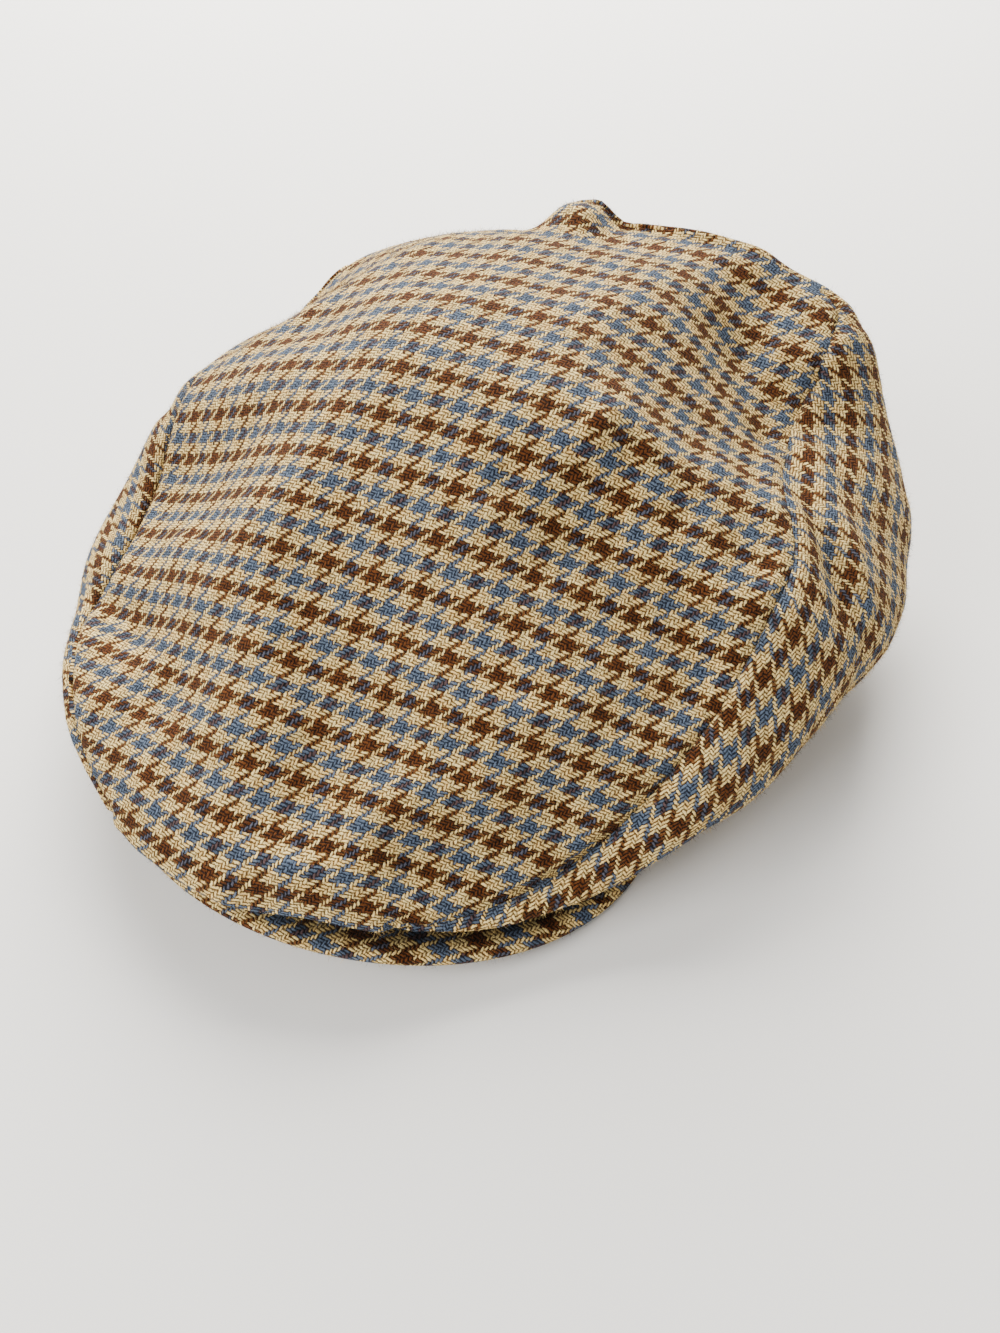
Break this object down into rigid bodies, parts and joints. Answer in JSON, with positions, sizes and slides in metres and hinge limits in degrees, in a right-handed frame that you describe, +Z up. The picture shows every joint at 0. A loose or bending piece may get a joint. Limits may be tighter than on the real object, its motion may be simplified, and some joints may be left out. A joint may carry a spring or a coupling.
{
  "type": "flat cap",
  "caption": "Tweed flat cap with a soft one-piece top sewn to side panels, a front lip rolled over a stiff curved peak, and an open hollow for the head.",
  "frame": {"origin": "on the floor under the middle of the cap's bounding box, the cap resting rim down", "axes": "+Z up through the crown, -Y towards the peak at the front, +X towards the wearer's left"},
  "size_m": [0.27, 0.256, 0.1131],
  "materials": {
    "tweed": "matte wool twill in a brown, blue and cream gun club check"
  },
  "bodies": {
    "root": {"crown_top": "tweed", "side_panel_left": "tweed", "side_panel_right": "tweed", "peak": "tweed"}
  },
  "joints": []
}
